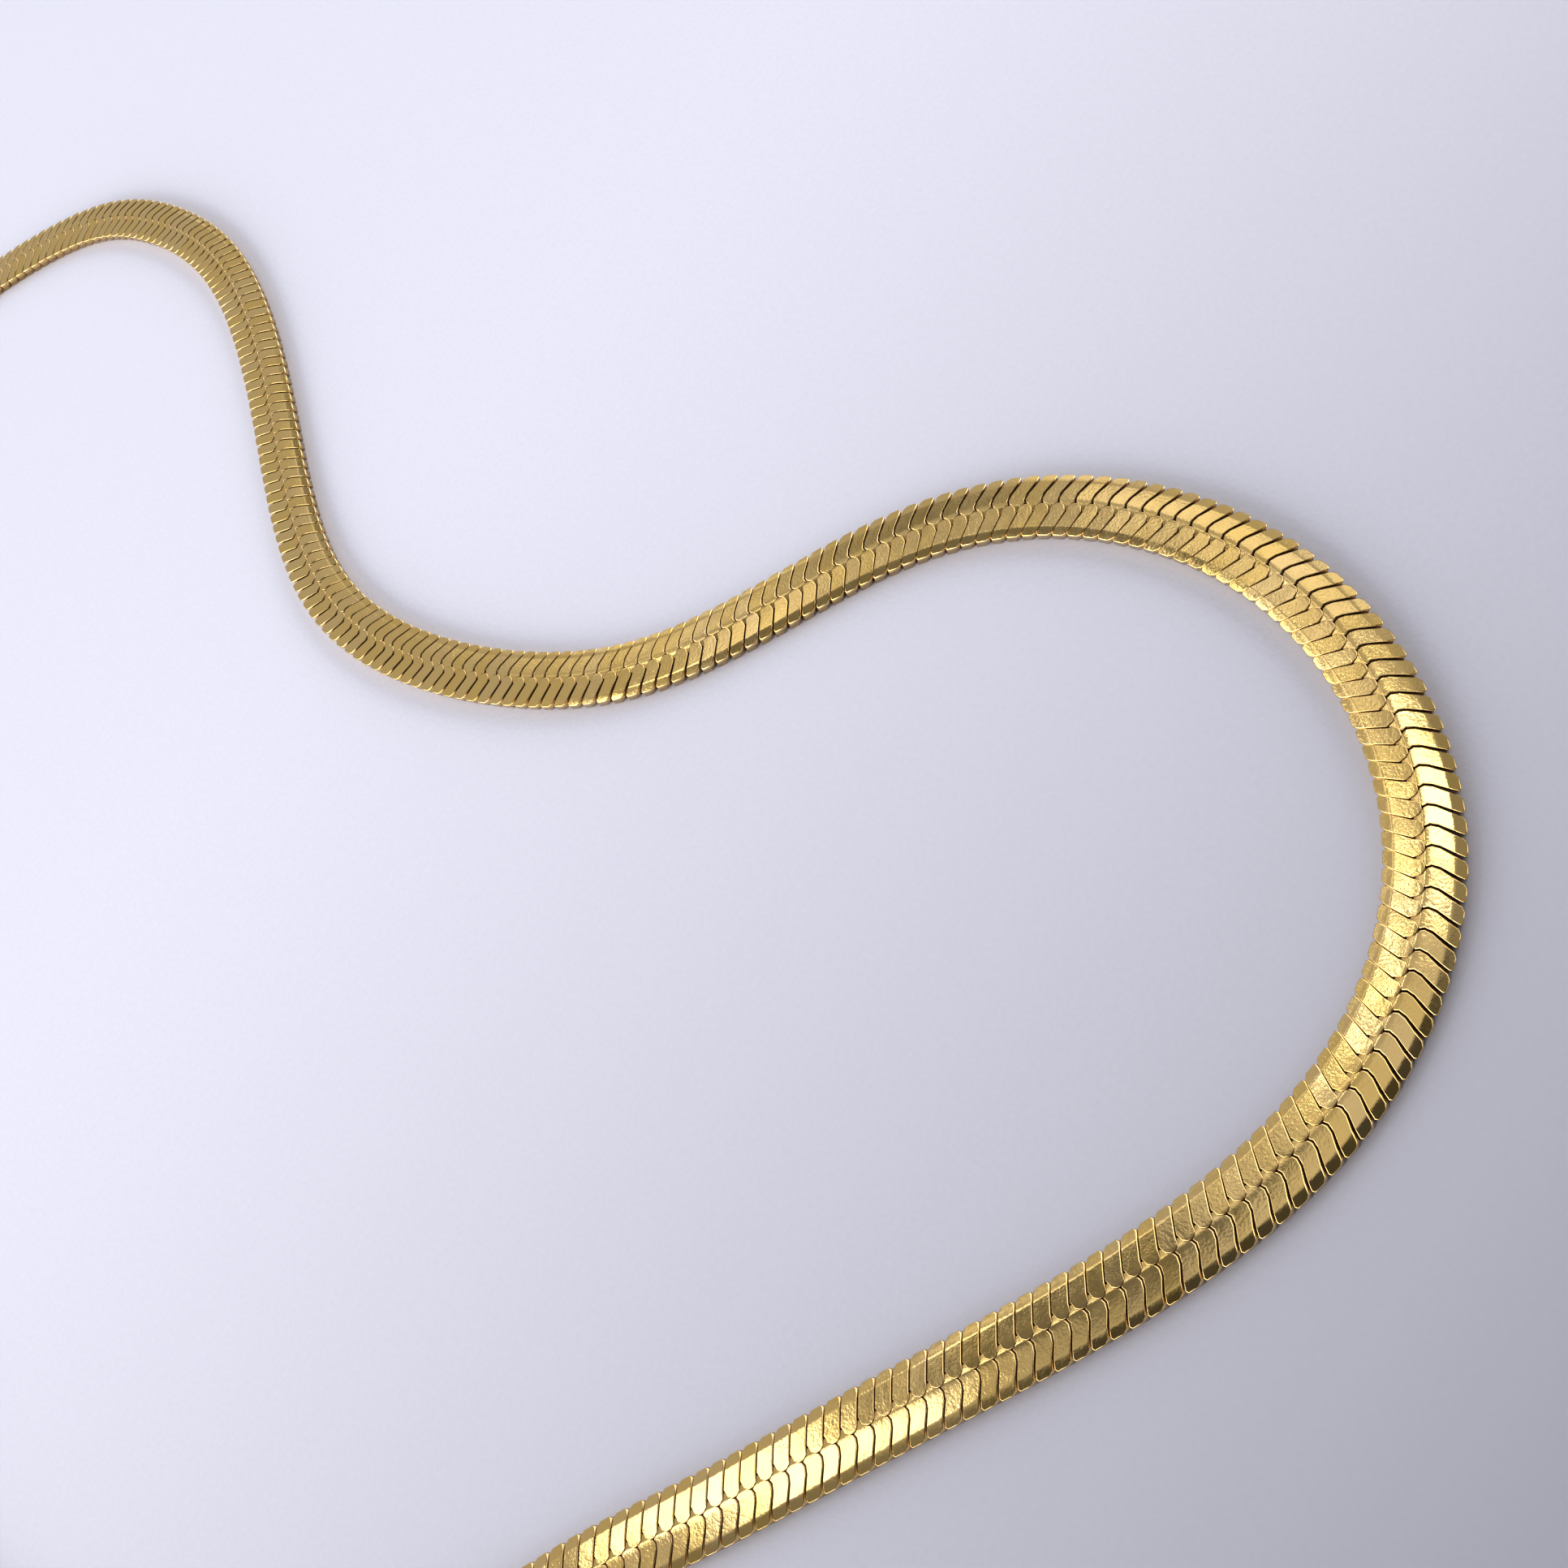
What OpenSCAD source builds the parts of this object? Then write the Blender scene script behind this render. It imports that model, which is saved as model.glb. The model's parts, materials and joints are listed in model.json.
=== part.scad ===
// Flat woven neck chain that lies closed on a table: one long band, two end caps,
// two jump rings and a plain clasp. Millimetres, +Z up, origin under the middle of the loop.

/* [Band] */
// Width of the woven band
band_w = 5; // [4:0.1:5.6]
// Thickness of the band at its crown
band_t = 1.25; // [1:0.05:1.4]
// Share of the width between the two top creases
flat_share = 0.76; // [0.6:0.02:0.86]
// Drop from the crown to each crease
crown_drop = 0.12; // [0:0.01:0.12]
// Drop from a crease to the outer edge of its bevel
bevel_drop = 0.14; // [0.1:0.01:0.35]
// Height at which the sides turn under
side_foot = 0.3; // [0.1:0.05:0.45]

/* [End caps] */
// Length of each sleeve
cap_l = 6; // [5.4:0.1:8]
// Wall of the sleeve
cap_wall = 0.3; // [0.25:0.05:0.5]
// Clearance between the band and the sleeve
cap_gap = 0.08; // [0.05:0.01:0.1]

/* [Jump rings] */
// Outer diameter of a jump ring
ring_d = 5.2; // [5.1:0.05:5.4]
// Diameter of its wire
ring_wire = 0.6; // [0.5:0.05:0.6]
// Lean of a ring from upright
ring_lean = 45; // [42:1:46]

/* [Clasp] */
// Distance from the eye's centre to the hook's centre
clasp_span = 9; // [8.6:0.1:10]
// Width of the clasp's body
clasp_w = 5; // [4.6:0.1:5.6]
// Thickness of the clasp's body
clasp_t = 2; // [1.8:0.05:2.2]
// Thickness of the eyes
eye_t = 0.6; // [0.5:0.05:0.6]

/* [Hidden] */
$fn = 48;

gold = [0.86, 0.68, 0.30];
pale_gold = [0.90, 0.75, 0.42];

// Control points of the loop's closed cubic spline, from the middle of the clasp,
// along the near run, round the big bend, through the two waves and back.
route = [
    [-64.5, 3], [-64.5, -10], [-64.5, -23], [-62, -36], [-55.5, -48], [-45.5, -58.5],
    [-33.5, -66.5], [-21, -70.2], [-11, -75.3], [1.5, -80.5], [13.5, -86], [26, -90.5],
    [38.5, -91.5], [50.5, -86.5], [58.5, -76], [61.5, -63], [58.5, -49.5],
    [50.5, -39.5], [39, -33.5], [28.5, -27], [21.5, -16], [17, -3], [16.5, 9.5],
    [21, 21], [27.5, 32.5], [33.5, 44.5], [37.5, 57.5], [36.5, 71], [33, 81.5],
    [22.5, 90.5], [11.5, 96.5], [-1, 96.5], [-13, 91], [-24, 82], [-34, 71.5],
    [-43.5, 60.5], [-52.5, 50], [-60.5, 40], [-64.5, 29], [-64.5, 16]
];
spans = len(route);
// Length of one span on the straight stretch that holds the clasp
straight_span = 13;
ring_count = 160;

// Cap and ring places, measured from the middle of the clasp
eye_hole_r = 1.35;
eye_rim = 0.4;
eye_r = eye_hole_r + eye_rim;
eye_z = clasp_t / 2;
ring_r = (ring_d - ring_wire) / 2;
ring_z = ring_r * cos(ring_lean) + ring_wire / 2;
ring_up = (eye_z - ring_z) / cos(ring_lean);
ring_reach = sqrt(ring_r * ring_r - ring_up * ring_up);
ring_side = -ring_up * sin(ring_lean);
ring_y = clasp_span / 2 + ring_reach;
cap_eye_y = ring_y + ring_reach;
hook_y = -clasp_span / 2;
clasp_body_y = -0.8;
root_y = 2.2;
cap_end = 0.5;
cap_y = cap_eye_y + eye_hole_r + 0.25;
cap_w = band_w + 2 * (cap_gap + cap_wall);
cap_h = band_t + 2 * (cap_gap + cap_wall);
band_y = cap_y + cap_end + 2 * cap_gap;
// The band's ends rise to the middle of the caps over a short ramp outside them
end_lift = cap_wall + cap_gap;
ramp_y = cap_y + cap_l + 3;
ramp_l = 8;

function wrapped(i) = route[((i % spans) + spans) % spans];
function weights(f) = [
    pow(1 - f, 3) / 6,
    (3 * pow(f, 3) - 6 * pow(f, 2) + 4) / 6,
    (-3 * pow(f, 3) + 3 * pow(f, 2) + 3 * f + 1) / 6,
    pow(f, 3) / 6
];
function slopes(f) = [
    -pow(1 - f, 2) / 2,
    (3 * pow(f, 2) - 4 * f) / 2,
    (-3 * pow(f, 2) + 2 * f + 1) / 2,
    pow(f, 2) / 2
];
function mix(w, i) = w[0] * wrapped(i - 1) + w[1] * wrapped(i) + w[2] * wrapped(i + 1) + w[3] * wrapped(i + 2);
function path(u) = mix(weights(u - floor(u)), floor(u));
function heading(u) = let (d = mix(slopes(u - floor(u)), floor(u))) d / norm(d);
function smooth(x) = let (c = min(max(x, 0), 1)) c * c * (3 - 2 * c);

// The middle of the loop's box goes to the origin
samples = [for (u = [0 : 0.1 : spans]) path(u)];
left_x = route[0].x - max(cap_w, clasp_w) / 2;
right_x = max([for (p = samples) p.x]) + band_w / 2;
front_y = min([for (p = samples) p.y]) - band_w / 2;
back_y = max([for (p = samples) p.y]) + band_w / 2;
middle = [(left_x + right_x) / 2, (front_y + back_y) / 2];

// The band's cross-section, across and up, from the crown round to the left
crease = flat_share * band_w / 2;
half_w = band_w / 2;
crease_z = band_t - crown_drop;
bevel_z = crease_z - bevel_drop;
section = [
    [0, band_t], [crease, crease_z], [half_w, bevel_z], [half_w, side_foot], [crease, 0],
    [-crease, 0], [-half_w, side_foot], [-half_w, bevel_z], [-crease, crease_z]
];
sides = len(section);

first_u = band_y / straight_span;
last_u = spans - first_u;
function ring_u(k) = first_u + (last_u - first_u) * k / ring_count;
function end_y(u) = min(u, spans - u) * straight_span;
function lift(u) = end_lift * (1 - smooth((end_y(u) - ramp_y) / ramp_l));
function ring_points(u) = let (p = path(u) - middle, h = heading(u), z = lift(u))
    [for (s = section) [p.x + h.y * s.x, p.y - h.x * s.x, s.y + z]];
function wall_quads(a, b) = [for (j = [0 : sides - 1]) let (n = (j + 1) % sides) [a + j, b + j, b + n, a + n]];

module band() {
    points = [for (k = [0 : ring_count]) each ring_points(ring_u(k))];
    walls = [for (k = [0 : ring_count - 1]) each wall_quads(k * sides, (k + 1) * sides)];
    start_face = [for (j = [0 : sides - 1]) j];
    end_face = [for (j = [sides - 1 : -1 : 0]) ring_count * sides + j];
    color(gold)
        polyhedron(points, concat(walls, [start_face, end_face]), convexity = 10);
}

module at_clasp() {
    translate([route[0].x - middle.x, route[0].y - middle.y, 0])
        children();
}

module rounded_bar(w, h, r, length) {
    rotate([-90, 0, 0])
        linear_extrude(length) {
            square([w - 2 * r, h], center = true);
            square([w, h - 2 * r], center = true);
            for (x = [-1, 1], y = [-1, 1])
                translate([x * (w / 2 - r), y * (h / 2 - r)])
                    circle(r);
        }
}

module eye(y) {
    translate([0, y, eye_z - eye_t / 2])
        cylinder(h = eye_t, r = eye_r);
}

module eye_hole(y) {
    translate([0, y, eye_z - eye_t])
        cylinder(h = 2 * eye_t, r = eye_hole_r);
}

// A sleeve over the band's end, with a flat eye on its closed end
module cap() {
    outer_r = 0.5;
    inner_r = 0.25;
    neck_w = 2 * eye_hole_r;
    at_clasp()
        color(pale_gold)
            difference() {
                union() {
                    translate([0, cap_y, cap_h / 2])
                        rounded_bar(cap_w, cap_h, outer_r, cap_l);
                    translate([-neck_w / 2, cap_eye_y, eye_z - eye_t / 2])
                        cube([neck_w, cap_y - cap_eye_y + cap_end / 2, eye_t]);
                    eye(cap_eye_y);
                }
                translate([0, cap_y + cap_end, cap_h / 2])
                    rounded_bar(band_w + 2 * cap_gap, band_t + 2 * cap_gap, inner_r, cap_l);
                eye_hole(cap_eye_y);
            }
}

// The band's two ends mirror each other about the middle of the clasp
module hook_side() {
    y = route[0].y - middle.y;
    translate([0, 2 * y, 0])
        mirror([0, 1, 0])
            children();
}

module cap_eye_side() {
    cap();
}

module cap_hook_side() {
    hook_side()
        cap();
}

module ring() {
    at_clasp()
        translate([ring_side, ring_y, ring_z])
            rotate([0, 90 + ring_lean, 0])
                color(gold)
                    rotate_extrude()
                        translate([ring_r, 0])
                            circle(ring_wire / 2);
}

module ring_eye_side() {
    ring();
}

module ring_hook_side() {
    hook_side()
        ring();
}

// The clasp's outline: the hook's end, the widest place and the root of the eye
module drop(hook_r, body_r, root_r) {
    hull() {
        translate([0, hook_y])
            circle(hook_r);
        translate([0, clasp_body_y])
            circle(body_r);
        translate([0, root_y])
            circle(root_r);
    }
}

// A closed claw: a thin eye at one end, a thin hook at the other, and a thicker body
module clasp() {
    root_r = 1.4;
    slot_r = 1.5;
    body_half = 2.9;
    step = 0.25;
    lever_r = 0.45;
    at_clasp()
        color(pale_gold)
            difference() {
                union() {
                    translate([0, 0, eye_z - eye_t / 2])
                        linear_extrude(eye_t)
                            drop(eye_r, clasp_w / 2, root_r);
                    linear_extrude(clasp_t)
                        intersection() {
                            drop(eye_r - step, clasp_w / 2 - step, root_r - step);
                            square([clasp_w, 2 * body_half], center = true);
                        }
                    translate([-root_r / 2, root_y, eye_z - eye_t / 2])
                        cube([root_r, clasp_span / 2 - root_y - eye_hole_r, eye_t]);
                    eye(clasp_span / 2);
                    translate([clasp_w / 2 - step, clasp_body_y, eye_z - eye_t])
                        cylinder(h = 2 * eye_t, r = lever_r);
                }
                translate([0, 0, -1])
                    linear_extrude(clasp_t + 2)
                        hull() {
                            translate([0, hook_y])
                                circle(eye_hole_r);
                            translate([0, clasp_body_y])
                                circle(slot_r);
                        }
                eye_hole(clasp_span / 2);
            }
}

band();
cap_hook_side();
cap_eye_side();
ring_hook_side();
ring_eye_side();
clasp();
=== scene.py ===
import json
import math
import random
from collections import namedtuple
from itertools import accumulate

import bmesh
import bpy
from mathutils import Matrix, Vector

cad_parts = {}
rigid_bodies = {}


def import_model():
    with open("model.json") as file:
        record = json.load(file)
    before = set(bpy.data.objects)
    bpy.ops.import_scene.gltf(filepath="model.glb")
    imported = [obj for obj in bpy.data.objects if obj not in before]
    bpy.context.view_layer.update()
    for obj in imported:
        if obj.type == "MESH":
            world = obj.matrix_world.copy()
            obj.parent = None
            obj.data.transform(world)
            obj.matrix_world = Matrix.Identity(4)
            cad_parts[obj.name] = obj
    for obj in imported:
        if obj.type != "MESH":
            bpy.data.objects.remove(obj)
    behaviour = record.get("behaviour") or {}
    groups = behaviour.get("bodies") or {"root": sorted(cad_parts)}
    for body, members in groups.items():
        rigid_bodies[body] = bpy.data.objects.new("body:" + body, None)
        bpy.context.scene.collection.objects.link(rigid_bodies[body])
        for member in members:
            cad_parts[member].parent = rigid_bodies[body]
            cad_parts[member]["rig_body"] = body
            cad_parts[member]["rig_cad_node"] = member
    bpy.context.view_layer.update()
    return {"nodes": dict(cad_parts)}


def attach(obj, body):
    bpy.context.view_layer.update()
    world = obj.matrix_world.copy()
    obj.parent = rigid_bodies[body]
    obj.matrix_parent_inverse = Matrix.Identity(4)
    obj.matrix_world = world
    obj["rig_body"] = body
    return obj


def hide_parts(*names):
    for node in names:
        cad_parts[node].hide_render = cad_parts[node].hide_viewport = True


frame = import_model()

# The band is modelled in millimetres, and Blender's scene is in metres
MM = 0.001
BODY = "root"

# The band and the route that it lies on, as in the part's source
BAND_W = 5.0
BAND_T = 1.25
FLAT_SHARE = 0.76
CROWN_DROP = 0.12
BEVEL_DROP = 0.14
CAP_WALL = 0.3
CAP_GAP = 0.08
CAP_L = 6.0
CAP_Y = 9.88
BAND_Y = 10.54
RAMP_L = 8.0
STRAIGHT_SPAN = 13.0
ROUTE = (
    (-64.5, 3), (-64.5, -10), (-64.5, -23), (-62, -36), (-55.5, -48), (-45.5, -58.5),
    (-33.5, -66.5), (-21, -70.2), (-11, -75.3), (1.5, -80.5), (13.5, -86), (26, -90.5),
    (38.5, -91.5), (50.5, -86.5), (58.5, -76), (61.5, -63), (58.5, -49.5),
    (50.5, -39.5), (39, -33.5), (28.5, -27), (21.5, -16), (17, -3), (16.5, 9.5),
    (21, 21), (27.5, 32.5), (33.5, 44.5), (37.5, 57.5), (36.5, 71), (33, 81.5),
    (22.5, 90.5), (11.5, 96.5), (-1, 96.5), (-13, 91), (-24, 82), (-34, 71.5),
    (-43.5, 60.5), (-52.5, 50), (-60.5, 40), (-64.5, 29), (-64.5, 16),
)
SPANS = len(ROUTE)
# The middle of the loop's box, which the source moves to the origin
MIDDLE = Vector((-2.19, 2.705))
END_LIFT = CAP_WALL + CAP_GAP
RAMP_Y = CAP_Y + CAP_L + 3

# One link, in millimetres: x runs along the band and y across it, from the middle line
LINK_PITCH = 1.3
HALF_T = BAND_T / 2
HALF_W = BAND_W / 2
CREASE_Y = FLAT_SHARE * HALF_W
CREASE_SLOPE = CROWN_DROP / CREASE_Y
BEVEL_SLOPE = BEVEL_DROP / (HALF_W - CREASE_Y)
# From here the face bends over to the bevel
BEND_Y = 1.7
BEND_SLOPE = 0.14
# The rolled rim round a finger's face
RIM_W = 0.055
RIM_DROP = 0.035
# The stretch from the middle line where the rim's leading side is broader, and by how much
ROLL_FROM = 0.3
ROLL_TO = CREASE_Y + 0.1
ROLL_W = 0.03
ROLL_DROP = 0.02
# A finger's foot: how far it reaches under the next link, where and how far its outer end is tucked
# in, and its clearance over the floor
NOSE = 0.3
TUCK_FROM = CREASE_Y + 0.2
TUCK = 0.16
FOOT_Z = 0.03
# Two places this close are the same
TOUCH = 1e-6


# The route

def spline(u):
    """Point of the closed cubic spline at u, counted in control points from the clasp's middle."""
    i = math.floor(u)
    f = u - i
    weights = ((1 - f) ** 3, 3 * f ** 3 - 6 * f ** 2 + 4, -3 * f ** 3 + 3 * f ** 2 + 3 * f + 1, f ** 3)
    ahead = [Vector(ROUTE[(i + k) % SPANS]) for k in (-1, 0, 1, 2)]
    return sum((w * p for w, p in zip(weights, ahead)), Vector((0, 0))) / 6 - MIDDLE


def lift(u):
    """Rise of the band's ends to the middle of the caps."""
    from_clasp = min(u, SPANS - u) * STRAIGHT_SPAN
    share = min(max((from_clasp - RAMP_Y) / RAMP_L, 0), 1)
    return END_LIFT * (1 - share * share * (3 - 2 * share))


def band_point(u):
    flat = spline(u)
    return Vector((flat.x, flat.y, lift(u)))


def link_places():
    """Evenly spaced places of the links along the band: each a point and the heading there."""
    steps_a_span = 60
    # Room behind and ahead of a link's place, so that no link comes out of the band's ends
    room_behind = 0.8
    room_ahead = 1.9
    first = BAND_Y / STRAIGHT_SPAN
    steps = SPANS * steps_a_span
    points = [band_point(first + (SPANS - 2 * first) * k / steps) for k in range(steps + 1)]
    runs = list(accumulate(((b - a).length for a, b in zip(points, points[1:])), initial=0))
    count = int((runs[-1] - room_behind - room_ahead) / LINK_PITCH)
    start = (runs[-1] - count * LINK_PITCH + room_behind - room_ahead) / 2
    places = []
    k = 0
    for n in range(count + 1):
        run = start + n * LINK_PITCH
        while runs[k + 1] < run:
            k += 1
        share = (run - runs[k]) / (runs[k + 1] - runs[k])
        heading = (points[k + 1] - points[k]).normalized()
        places.append((points[k].lerp(points[k + 1], share), heading))
    return places


# Modelling by hand

def deselect():
    for piece in bpy.context.selected_objects:
        piece.select_set(False)


def choose(piece):
    deselect()
    piece.select_set(True)
    bpy.context.view_layer.objects.active = piece


def edit(piece):
    choose(piece)
    bpy.ops.object.mode_set(mode="EDIT")


def done():
    bpy.ops.object.mode_set(mode="OBJECT")


def pick(test):
    """Selects the points of the piece in edit mode whose place passes the test."""
    bpy.ops.mesh.select_mode(type="VERT")
    bpy.ops.mesh.select_all(action="DESELECT")
    data = bpy.context.edit_object.data
    mesh = bmesh.from_edit_mesh(data)
    for point in mesh.verts:
        point.select_set(test(point.co))
    mesh.select_flush_mode()
    bmesh.update_edit_mesh(data)


def push(test, move):
    """Moves the points whose place passes the test."""
    pick(test)
    bpy.ops.transform.translate(value=move)


def pick_all():
    bpy.ops.mesh.select_mode(type="FACE")
    bpy.ops.mesh.select_all(action="SELECT")


def apply(piece, kind, **settings):
    """Adds a modifier to the piece and applies it."""
    choose(piece)
    modifier = piece.modifiers.new(kind.title(), kind)
    for name, value in settings.items():
        setattr(modifier, name, value)
    bpy.ops.object.modifier_apply(modifier=modifier.name)


# The link

# A line across a finger's face: its place across the band, the finger's trailing and leading sides
# along the band, and how far the face sinks there
Row = namedtuple("Row", "y trailing leading sink")

# The inner row's finger: a round tip at the middle line, straight sides, a rounded outer end
TIP_Y = 0.5
TIP_R = 0.6
# Turns from the tip's point, in degrees, each with how far the face sinks there
TIP_TURNS = ((20, 0.006), (54, 0))
INNER_HALF_W = 0.62
INNER_Y = 0.65
INNER_LEAN = 0.44
# Places past the tip, each with how much the finger is trimmed there on both sides
INNER_TRIMS = ((INNER_Y, 0), (BEND_Y, 0), (CREASE_Y, 0), (2.3, 0.05), (HALF_W, 0.25))
# The outer row's finger: a neck that dives between two tips, a shoulder, a leaning body and
# a rounded outer end
OUTER_ROWS = (
    Row(0.52, 0.55, 0.77, 0.11),
    Row(0.1, 0.37, 0.93, 0.045),
    Row(-0.06, 0.16, 1.16, 0.026),
    Row(-0.13, 0.06, 1.27, 0.018),
    Row(-0.42, 0.17, 1.39, 0),
    Row(-0.9, 0.02, 1.26, 0),
    Row(-BEND_Y, -0.45, 0.77, 0),
    Row(-CREASE_Y, -0.55, 0.66, 0),
    Row(-2.3, -0.73, 0.44, 0),
    Row(-HALF_W, -0.62, 0.12, 0),
)


def inner_rows():
    rows = []
    for degrees, sink in TIP_TURNS:
        turn = math.radians(degrees)
        half = TIP_R * math.sin(turn)
        rows.append(Row(TIP_Y - TIP_R * math.cos(turn), -half, half, sink))
    for y, trim in INNER_TRIMS:
        middle = INNER_LEAN * (y - INNER_Y)
        rows.append(Row(y, middle - INNER_HALF_W + trim, middle + INNER_HALF_W - trim, 0))
    return rows


def drop(y):
    """How far the band's face lies below its crown at y."""
    crown = min(abs(y), BEND_Y)
    bevel = max(abs(y) - CREASE_Y, 0)
    return crown * CREASE_SLOPE + (abs(y) - crown - bevel) * BEND_SLOPE + bevel * BEVEL_SLOPE


def at_row(rows, y, value):
    """A value of the finger's rows at y, read between the two rows next to it."""
    ordered = sorted(rows, key=lambda row: row.y)
    for near, far in zip(ordered, ordered[1:]):
        if y <= far.y or far is ordered[-1]:
            share = min(max((y - near.y) / (far.y - near.y), 0), 1)
            return value(near) * (1 - share) + value(far) * share


def face_z(rows, y):
    return HALF_T - drop(y) - at_row(rows, y, lambda row: row.sink)


def strip(name, rows):
    """The face of a finger as a strip, with one edge across for each row: the plane's two edges are
    moved to the first two rows, and each later row is drawn out of the one before it."""
    deselect()
    bpy.ops.mesh.primitive_plane_add(size=2)
    piece = bpy.context.object
    piece.name = name
    edit(piece)
    for k, row in enumerate(rows):
        height = HALF_T - RIM_DROP - drop(row.y) - row.sink
        centre = Vector(((row.trailing + row.leading) / 2, row.y, height))
        width = row.leading - row.trailing
        if k < 2:
            side = 2 * k - 1
            pick(lambda p: abs(p.z) < TOUCH and p.y * side > 0)
            bpy.ops.transform.resize(value=(width / 2, 1, 1), center_override=(0, side, 0))
            bpy.ops.transform.translate(value=centre - Vector((0, side, 0)))
        else:
            bpy.ops.mesh.extrude_region_move(TRANSFORM_OT_translate={"value": centre - last_centre})
            bpy.ops.transform.resize(value=(width / last_width, 1, 1), center_override=centre)
        last_centre, last_width = centre, width
    pick_all()
    bpy.ops.mesh.normals_make_consistent(inside=False)
    if sum(face.normal.z for face in bmesh.from_edit_mesh(piece.data).faces) < 0:
        bpy.ops.mesh.flip_normals()
    return piece


def finger(name, rows, roll_from, roll_to):
    """One finger of a link: its face with a rolled rim, which is broader on the leading side of the
    body, and walls that lean under the next link down to a flat foot."""
    flat = math.radians(0.5)
    near = 0.02
    foot = FOOT_Z - HALF_T

    def leading_points(below):
        """A test for the body's points on the leading side at this depth under the face."""
        def test(p):
            middle = at_row(rows, p.y, lambda row: (row.trailing + row.leading) / 2)
            on_body = roll_from < p.y < roll_to
            return on_body and p.x > middle and abs(face_z(rows, p.y) - p.z - below) < near
        return test

    piece = strip(name, rows)
    # The inset lifts the face over its rim, and the face's outline stays sharp
    pick_all()
    bpy.ops.mesh.inset(thickness=RIM_W, depth=RIM_DROP)
    bpy.ops.mesh.region_to_loop()
    bpy.ops.mesh.mark_sharp()
    # Faces inside the bends that lie flat together become one
    pick(lambda p: abs(p.y) < BEND_Y + RIM_W)
    bpy.ops.mesh.dissolve_limited(angle_limit=flat, use_dissolve_boundaries=False)
    push(leading_points(RIM_DROP), (0, 0, -ROLL_DROP))
    push(leading_points(0), (-ROLL_W, 0, 0))
    # The walls, drawn down from the rim
    pick_all()
    bpy.ops.mesh.region_to_loop()
    bpy.ops.mesh.extrude_edges_move()
    bpy.ops.transform.resize(value=(1, 1, 0), center_override=(0, 0, foot))
    bpy.ops.transform.translate(value=(NOSE, 0, 0))
    bpy.ops.mesh.edge_face_add()
    for side in (-1, 1):
        push(lambda p: p.z < foot + TOUCH and p.y * side > TUCK_FROM, (0, -side * TUCK, 0))
    pick_all()
    bpy.ops.mesh.normals_make_consistent(inside=False)
    done()
    mark(piece, rows)
    return piece


def mark(piece, rows):
    """Stores how deep each corner of the face and the walls lies in the gaps between the fingers, from
    0 to 1, as the mask of the painted shade in the gaps: more at the junction of the rows, and no more
    than a rim's depth where the outer ends stand open. The foot stays at 0."""
    open_end = 2.1
    rim_depth = 0.012
    junction = 0.6
    junction_shade = 2
    faces_down = -0.5
    # The mask of the painted shade in the gaps between the fingers
    gap_shade = piece.data.attributes.new("gap_shade", "FLOAT", "CORNER")
    for face in piece.data.polygons:
        if face.normal.z <= faces_down:
            continue
        for corner in face.loop_indices:
            place = piece.data.vertices[piece.data.loops[corner].vertex_index].co
            deepest = 1 if abs(place.y) < open_end else rim_depth
            depth = (face_z(rows, place.y) - place.z) / BAND_T
            if abs(place.y) < junction:
                depth *= junction_shade
            gap_shade.data[corner].value = min(max(depth, 0), deepest)


def shape_link():
    """One link: a finger in each row."""
    inner = finger("inner_finger", inner_rows(), ROLL_FROM, ROLL_TO)
    outer = finger("outer_finger", OUTER_ROWS, -ROLL_TO, -ROLL_FROM)
    choose(inner)
    outer.select_set(True)
    bpy.ops.object.join()
    link = bpy.context.object
    link.name = "link"
    link.data.attributes.new("tone", "FLOAT", "POINT")
    return link


def lay_links(finish):
    """Copies of the link along the route, each tilted a little its own way and with a tone of its own,
    joined to one piece."""
    link = shape_link()
    chance = random.Random(7)
    copies = []
    tilt = math.radians(0.5)
    rise = Vector((0, 0, HALF_T))
    for place, heading in link_places():
        copy = link.copy()
        copy.data = link.data.copy()
        bpy.context.scene.collection.objects.link(copy)
        left = Vector((0, 0, 1)).cross(heading).normalized()
        up = heading.cross(left)
        turn = Matrix((heading, left, up)).transposed().to_4x4()
        sway = Matrix.Rotation(chance.uniform(-tilt, tilt), 4, "X")
        nod = Matrix.Rotation(chance.uniform(-tilt, tilt), 4, "Y")
        copy.matrix_world = Matrix.Scale(MM, 4) @ Matrix.Translation(place + rise) @ turn @ sway @ nod
        tone = chance.random()
        for point in copy.data.attributes["tone"].data:
            point.value = tone
        copies.append(copy)
    bpy.data.objects.remove(link)
    deselect()
    for copy in copies:
        copy.select_set(True)
    bpy.context.view_layer.objects.active = copies[0]
    bpy.ops.object.join()
    bpy.ops.object.transform_apply(location=True, rotation=True, scale=True)
    chain = bpy.context.object
    chain.name = "herringbone_links"
    chain.data.materials.clear()
    chain.data.materials.append(finish)
    bpy.ops.object.shade_smooth()
    apply(chain, "WEIGHTED_NORMAL", weight=92, keep_sharp=True)
    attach(chain, BODY)
    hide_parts("band")
    return chain


# The fittings

def dress(node, finish):
    """A fitting with the CAD node's shape and softened edges."""
    piece = frame["nodes"][node].copy()
    piece.data = piece.data.copy()
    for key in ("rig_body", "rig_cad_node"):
        del piece[key]
    piece.parent = None
    piece.name = node + "_finished"
    bpy.context.scene.collection.objects.link(piece)
    edit(piece)
    pick_all()
    bpy.ops.mesh.remove_doubles(threshold=2e-6)
    bpy.ops.mesh.dissolve_limited(angle_limit=math.radians(1))
    done()
    soft = 0.06 * MM
    apply(piece, "BEVEL", width=soft, segments=2, limit_method="ANGLE", angle_limit=math.radians(40))
    choose(piece)
    bpy.ops.object.shade_smooth()
    apply(piece, "WEIGHTED_NORMAL", weight=80, keep_sharp=False)
    piece.data.materials.clear()
    piece.data.materials.append(finish)
    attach(piece, BODY)
    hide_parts(node)
    return piece


# Shader nodes

def new_finish(name):
    finish = bpy.data.materials.new(name)
    finish.use_nodes = True
    nodes = finish.node_tree.nodes
    return finish, nodes, finish.node_tree.links, nodes["Principled BSDF"]


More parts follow.
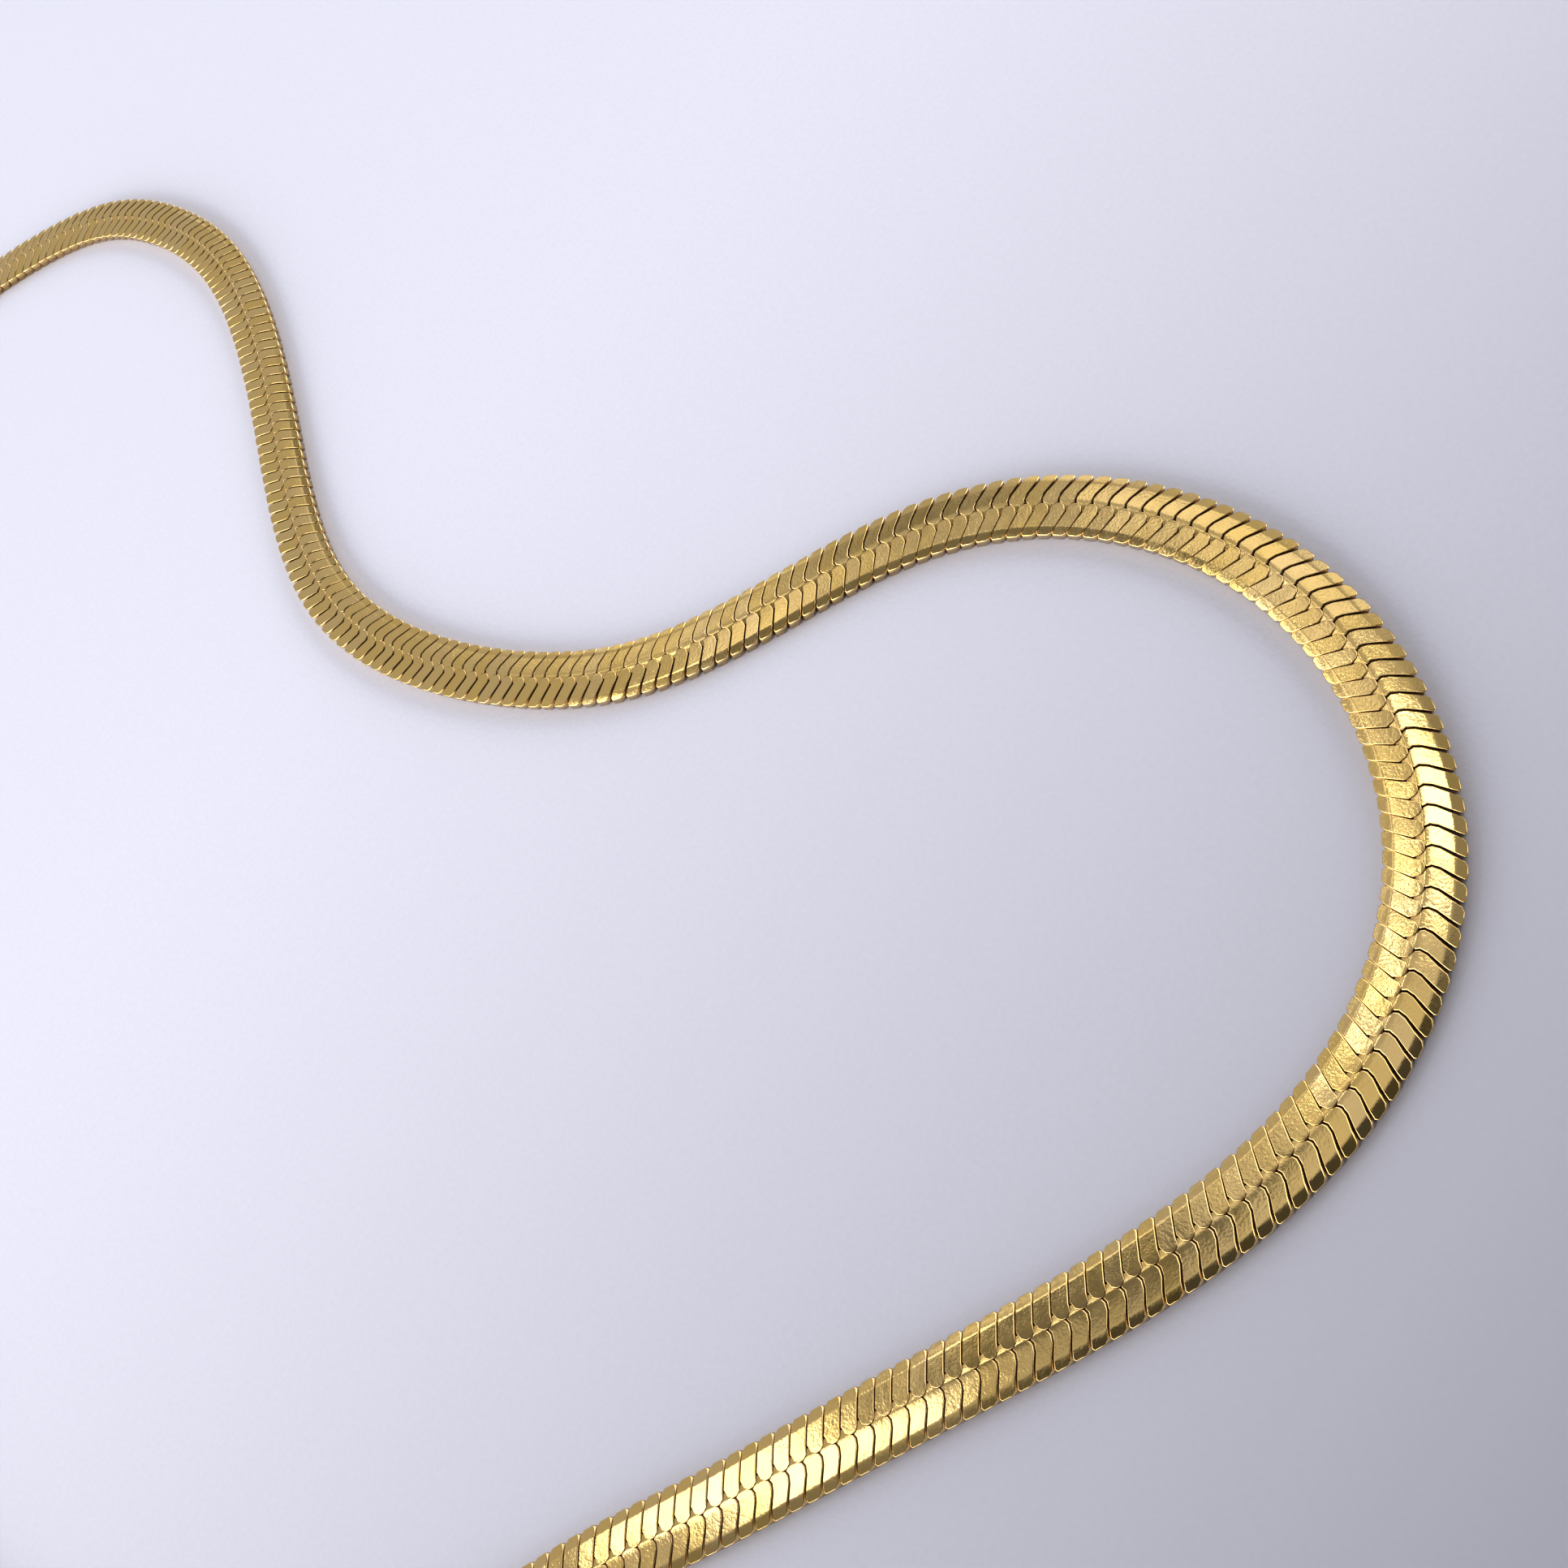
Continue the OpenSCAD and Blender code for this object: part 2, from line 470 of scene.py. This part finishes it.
def feed(links, value, socket):
    """Gives a socket its value: a number or a colour, or the output that it follows."""
    if isinstance(value, bpy.types.NodeSocket):
        links.new(value, socket)
    else:
        socket.default_value = value


def math_node(nodes, links, kind, first, second):
    node = nodes.new("ShaderNodeMath")
    node.operation = kind
    feed(links, first, node.inputs[0])
    feed(links, second, node.inputs[1])
    return node.outputs[0]


def vector_node(nodes, links, kind, first, second=None):
    node = nodes.new("ShaderNodeVectorMath")
    node.operation = kind
    links.new(first, node.inputs[0])
    if second is not None:
        links.new(second, node.inputs[1])
    return node.outputs[0]


def noise(nodes, links, place, scale, detail):
    node = nodes.new("ShaderNodeTexNoise")
    node.inputs["Detail"].default_value = detail
    feed(links, scale, node.inputs["Scale"])
    links.new(place, node.inputs["Vector"])
    return node.outputs["Fac"]


def ramp(nodes, links, value, low, high, to_low=0, to_high=1):
    """Maps a value between two limits to a range, and holds it outside them."""
    node = nodes.new("ShaderNodeMapRange")
    for name, setting in (("From Min", low), ("From Max", high), ("To Min", to_low), ("To Max", to_high)):
        node.inputs[name].default_value = setting
    links.new(value, node.inputs["Value"])
    return node.outputs["Result"]


# A mix node's sockets for its two values and its result
MIX_SOCKETS = {"FLOAT": (2, 3, 0), "RGBA": (6, 7, 2)}


def mix(nodes, links, kind, share, low, high):
    """A number or a colour between two, by a share from 0 to 1."""
    node = nodes.new("ShaderNodeMix")
    node.data_type = kind
    low_at, high_at, result_at = MIX_SOCKETS[kind]
    links.new(share, node.inputs["Factor"])
    feed(links, low, node.inputs[low_at])
    feed(links, high, node.inputs[high_at])
    return node.outputs[result_at]


def bump(nodes, links, height, depth, shader):
    node = nodes.new("ShaderNodeBump")
    node.inputs["Distance"].default_value = depth
    links.new(height, node.inputs["Height"])
    links.new(node.outputs["Normal"], shader.inputs["Normal"])


# The gold plate

GOLD = (0.93, 0.63, 0.2, 1)
PALE_GOLD = (0.93, 0.655, 0.27, 1)
# Brown of the painted shade in the gaps between the links
GAP_SHADE_BROWN = (0.3, 0.18, 0.09, 1)
# How deep the wear is, in metres, and how many dents a metre has
WEAR_DEPTH = 1.7e-6
BAND_DENTS = 5200
FITTING_DENTS = 2600
# From this depth on, as the links store it, the painted shade in the gaps is all brown
GAP_SHADE_FULL_DEPTH = 0.045
GAP_ROUGHNESS = 0.5


def make_wear():
    """Dents and waves of polished plate, in mesh places in metres, and its duller patches."""
    waves_a_dent = 0.25
    wave_height = 2.8
    group = bpy.data.node_groups.new("plate_wear", "ShaderNodeTree")
    face = group.interface
    face.new_socket("Place", in_out="INPUT", socket_type="NodeSocketVector")
    face.new_socket("Dents per metre", in_out="INPUT", socket_type="NodeSocketFloat")
    face.new_socket("Height", in_out="OUTPUT", socket_type="NodeSocketFloat")
    face.new_socket("Dull", in_out="OUTPUT", socket_type="NodeSocketFloat")
    nodes, links = group.nodes, group.links
    given = nodes.new("NodeGroupInput")
    result = nodes.new("NodeGroupOutput")
    place, dents = given.outputs["Place"], given.outputs["Dents per metre"]
    fine = noise(nodes, links, place, dents, detail=2)
    wave_scale = math_node(nodes, links, "MULTIPLY", dents, waves_a_dent)
    broad = noise(nodes, links, place, wave_scale, detail=1)
    pits = ramp(nodes, links, fine, 0.3, 0.62)
    waves = math_node(nodes, links, "MULTIPLY", broad, wave_height)
    links.new(math_node(nodes, links, "ADD", pits, waves), result.inputs["Height"])
    links.new(ramp(nodes, links, broad, 0.35, 0.65), result.inputs["Dull"])
    return group


def wear(nodes, links, group, dents):
    """The wear at the piece's own places: the height and the dull patches."""
    place = nodes.new("ShaderNodeTexCoord")
    node = nodes.new("ShaderNodeGroup")
    node.node_tree = group
    node.inputs["Dents per metre"].default_value = dents
    links.new(place.outputs["Object"], node.inputs["Place"])
    return node.outputs["Height"], node.outputs["Dull"]


def stored(nodes, name):
    """A number that the piece's mesh stores under a name."""
    node = nodes.new("ShaderNodeAttribute")
    node.attribute_name = name
    return node.outputs["Fac"]


def band_gold(group):
    """Bright plate, a little different from link to link, with painted shade darkening the gaps between
    the links.
    """
    finish, nodes, links, gold = new_finish("polished_band_gold")
    height, dull = wear(nodes, links, group, BAND_DENTS)
    plate = mix(nodes, links, "RGBA", stored(nodes, "tone"), GOLD, PALE_GOLD)
    # Painted shade: the deeper a corner lies in the gaps, the browner and rougher the plate
    gap_shade_share = ramp(nodes, links, stored(nodes, "gap_shade"), 0, GAP_SHADE_FULL_DEPTH)
    links.new(mix(nodes, links, "RGBA", gap_shade_share, plate, GAP_SHADE_BROWN), gold.inputs["Base Color"])
    gold.inputs["Metallic"].default_value = 1
    polish = ramp(nodes, links, dull, 0, 1, to_low=0.07, to_high=0.12)
    rough = math_node(nodes, links, "MULTIPLY", gap_shade_share, GAP_ROUGHNESS)
    links.new(math_node(nodes, links, "MAXIMUM", polish, rough), gold.inputs["Roughness"])
    bump(nodes, links, height, WEAR_DEPTH, gold)
    return finish


def fitting_gold(group):
    """The same plate without links, in duller and paler patches."""
    finish, nodes, links, gold = new_finish("polished_fitting_gold")
    height, dull = wear(nodes, links, group, FITTING_DENTS)
    links.new(mix(nodes, links, "RGBA", dull, GOLD, PALE_GOLD), gold.inputs["Base Color"])
    gold.inputs["Metallic"].default_value = 1
    links.new(ramp(nodes, links, dull, 0, 1, to_low=0.09, to_high=0.17), gold.inputs["Roughness"])
    bump(nodes, links, height, WEAR_DEPTH, gold)
    return finish


# The floor

CARD = (0.86, 0.86, 0.98, 1)
CARD_GRAIN = (0.83, 0.83, 0.945, 1)
# Colour of the painted shade on the floor in front of the necklace
CARD_SHADE = (0.218, 0.217, 0.252, 1)
GRAINS_A_METRE = 2400
GRAIN_DEPTH = 1.5e-5
# Places on the floor's Y, in metres: the painted shade in front of the necklace begins, is full, begins
# to clear, has cleared
SHADE_FROM = 0.01
SHADE_FULL = -0.14
SHADE_CLEAR_FROM = -0.18
SHADE_CLEAR_TO = -0.4


def card_finish():
    """Smooth pale card with a very fine grain, and painted shade in front of the necklace that clears
    again farther out.
    """
    shade_curve = 1.6
    finish, nodes, links, sheet = new_finish("pale_card")
    place = nodes.new("ShaderNodeTexCoord").outputs["Object"]
    grain = noise(nodes, links, place, GRAINS_A_METRE, detail=2)
    tint = mix(nodes, links, "RGBA", ramp(nodes, links, grain, 0.3, 0.7), CARD_GRAIN, CARD)
    parts = nodes.new("ShaderNodeSeparateXYZ")
    links.new(place, parts.inputs[0])
    # Painted shade on the card: darker towards -Y in front of the necklace, clearing again farther out
    near = ramp(nodes, links, parts.outputs["Y"], SHADE_FROM, SHADE_FULL)
    clear = ramp(nodes, links, parts.outputs["Y"], SHADE_CLEAR_FROM, SHADE_CLEAR_TO, to_low=1, to_high=0)
    painted_shade = math_node(nodes, links, "MULTIPLY", math_node(nodes, links, "POWER", near, shade_curve), clear)
    links.new(mix(nodes, links, "RGBA", painted_shade, tint, CARD_SHADE), sheet.inputs["Base Color"])
    sheet.inputs["Roughness"].default_value = 0.7
    bump(nodes, links, grain, GRAIN_DEPTH, sheet)
    return finish


def show_floor():
    deselect()
    bpy.ops.mesh.primitive_plane_add(size=4)
    floor = bpy.context.object
    floor.name = "floor"
    floor.data.materials.append(card_finish())


# The light

# Lamps and patches lie on a flat map of the room above: degrees from straight overhead, +X to the
# right and +Y to the far side. The map shows twice the tangent of half the angle from overhead.
MAP_SCALE = math.degrees(2)
# The lamps hang round this place on the floor, each so many metres away
LIT_FROM = Vector((0.02, -0.02, 0))

Lamp = namedtuple("Lamp", "name x y wide high glow away")
LAMPS = (
    Lamp("window_left", -21.3, 14.9, 8.6, 22, 2.7, 0.5),
    Lamp("window_low", -6.8, 28.6, 3.6, 7, 2.2, 0.6),
    Lamp("lamp_middle", 5, 24.2, 1.8, 2.6, 4, 4),
    Lamp("lamp_right", 16.6, 13.8, 7.6, 9, 3.3, 4),
    Lamp("wall_right", 22.8, 28.6, 5, 15, 0.65, 4),
    Lamp("soft_left", -88, 4, 30, 60, 2, 0.7),
)

# Soft bright and dark patches of the room, painted over its own glow and over one another
Patch = namedtuple("Patch", "x y wide high soft glow")
ROOM_GLOW = 3.4
PATCHES = (
    Patch(2, 40, 98, 180, 14, 0.46),
    Patch(2, -58, 110, 112, 7, 0.06),
    Patch(36, -2, 38, 28, 10, 0.28),
    Patch(-36, -4, 28, 22, 8, 0.22),
    Patch(3, 7, 16, 8, 4, 0.66),
    Patch(-5.6, 18.7, 10, 18.6, 2, 0.17),
    Patch(2.4, 24, 5.6, 5, 2, 0.7),
    Patch(-2.6, 31.2, 7, 3, 1.2, 1.8),
    Patch(8.2, 28, 3.4, 3.8, 1.5, 1.15),
    Patch(6.8, 31, 4, 2.4, 1.5, 0.36),
    Patch(1, 34, 6.6, 4, 2, 1),
    Patch(15, 44, 8, 8, 3, 0.22),
    Patch(-1.6, 43.6, 5.6, 4.4, 2, 0.9),
    Patch(6, 50, 5, 4, 2.4, 0.95),
    Patch(41, 22, 8, 8, 4, 1),
    Patch(39, 51, 10, 12, 6, 0.95),
    Patch(16.5, 68, 4, 6, 3, 1),
)


def hang(lamp):
    """An area light at its map place, with its width along X and its height along Y on the map. Its
    glow is the brightness of its face."""
    flat = Vector((lamp.x, lamp.y)) / MAP_SCALE
    towards = Vector((2 * flat.x, 2 * flat.y, 1 - flat.length_squared)) / (1 + flat.length_squared)
    across = Vector((0, 1, 0)).cross(towards).normalized()
    along = towards.cross(across)
    data = bpy.data.lights.new(lamp.name, "AREA")
    data.shape = "RECTANGLE"
    data.size = 2 * lamp.away * math.tan(math.radians(lamp.wide / 2))
    data.size_y = 2 * lamp.away * math.tan(math.radians(lamp.high / 2))
    data.energy = lamp.glow * math.pi * data.size * data.size_y
    light = bpy.data.objects.new(lamp.name, data)
    bpy.context.scene.collection.objects.link(light)
    turn = Matrix((across, along, towards)).transposed().to_4x4()
    light.matrix_world = Matrix.Translation(LIT_FROM + towards * lamp.away) @ turn


def make_patch():
    """How far a place lies inside a soft-edged rectangle, from 0 to 1."""
    group = bpy.data.node_groups.new("soft_patch", "ShaderNodeTree")
    face = group.interface
    face.new_socket("Place", in_out="INPUT", socket_type="NodeSocketVector")
    face.new_socket("Centre", in_out="INPUT", socket_type="NodeSocketVector")
    face.new_socket("Half size", in_out="INPUT", socket_type="NodeSocketVector")
    face.new_socket("Soft edge", in_out="INPUT", socket_type="NodeSocketFloat")
    face.new_socket("Share", in_out="OUTPUT", socket_type="NodeSocketFloat")
    nodes, links = group.nodes, group.links
    given = nodes.new("NodeGroupInput").outputs
    result = nodes.new("NodeGroupOutput")
    away = vector_node(nodes, links, "SUBTRACT", given["Place"], given["Centre"])
    away = vector_node(nodes, links, "ABSOLUTE", away)
    inside = vector_node(nodes, links, "SUBTRACT", given["Half size"], away)
    parts = nodes.new("ShaderNodeSeparateXYZ")
    links.new(inside, parts.inputs[0])
    shares = []
    for axis in ("X", "Y"):
        depth = math_node(nodes, links, "DIVIDE", parts.outputs[axis], given["Soft edge"])
        step = nodes.new("ShaderNodeMapRange")
        step.interpolation_type = "SMOOTHSTEP"
        step.inputs["From Min"].default_value = -0.5
        step.inputs["From Max"].default_value = 0.5
        links.new(depth, step.inputs["Value"])
        shares.append(step.outputs["Result"])
    links.new(math_node(nodes, links, "MULTIPLY", *shares), result.inputs["Share"])
    return group


def paint_room():
    """The room's own soft light: its patches in a flat map of the directions round straight up."""
    world = bpy.data.worlds.new("room")
    bpy.context.scene.world = world
    world.use_nodes = True
    nodes, links = world.node_tree.nodes, world.node_tree.links
    direction = nodes.new("ShaderNodeTexCoord").outputs["Generated"]
    parts = nodes.new("ShaderNodeSeparateXYZ")
    links.new(direction, parts.inputs[0])
    from_below = math_node(nodes, links, "ADD", parts.outputs["Z"], 1)
    spread = math_node(nodes, links, "DIVIDE", MAP_SCALE, from_below)
    place = nodes.new("ShaderNodeVectorMath")
    place.operation = "SCALE"
    links.new(direction, place.inputs[0])
    links.new(spread, place.inputs["Scale"])
    group = make_patch()
    glow = ROOM_GLOW
    for patch in PATCHES:
        node = nodes.new("ShaderNodeGroup")
        node.node_tree = group
        links.new(place.outputs[0], node.inputs["Place"])
        node.inputs["Centre"].default_value = (patch.x, patch.y, 0)
        node.inputs["Half size"].default_value = (patch.wide / 2, patch.high / 2, 0)
        node.inputs["Soft edge"].default_value = patch.soft
        glow = mix(nodes, links, "FLOAT", node.outputs["Share"], glow, patch.glow)
    room = nodes["Background"]
    room.inputs["Color"].default_value = (0.97, 0.97, 1, 1)
    links.new(glow, room.inputs["Strength"])


def light_room():
    paint_room()
    for lamp in LAMPS:
        hang(lamp)
    bpy.context.scene.view_settings.view_transform = "Standard"


# The camera

CAMERA_AT = Vector((31.19, -123.705, 107.54)) * MM
CAMERA_TILT = math.radians(35.5)
CAMERA_ROLL = math.radians(-52.45)
LENS = 40.57
SENSOR = 36.0


def place_camera():
    camera = bpy.data.objects.new("camera", bpy.data.cameras.new("camera"))
    bpy.context.scene.collection.objects.link(camera)
    camera.data.lens = LENS
    camera.data.sensor_width = SENSOR
    camera.data.clip_start = 5 * MM
    turn = Matrix.Rotation(CAMERA_TILT, 4, "X") @ Matrix.Rotation(CAMERA_ROLL, 4, "Z")
    camera.matrix_world = Matrix.Translation(CAMERA_AT) @ turn
    bpy.context.scene.camera = camera


show_floor()
light_room()
place_camera()
plate_wear = make_wear()
lay_links(band_gold(plate_wear))
fitting_finish = fitting_gold(plate_wear)
for fitting in ("cap_hook_side", "cap_eye_side", "ring_hook_side", "ring_eye_side", "clasp"):
    dress(fitting, fitting_finish)
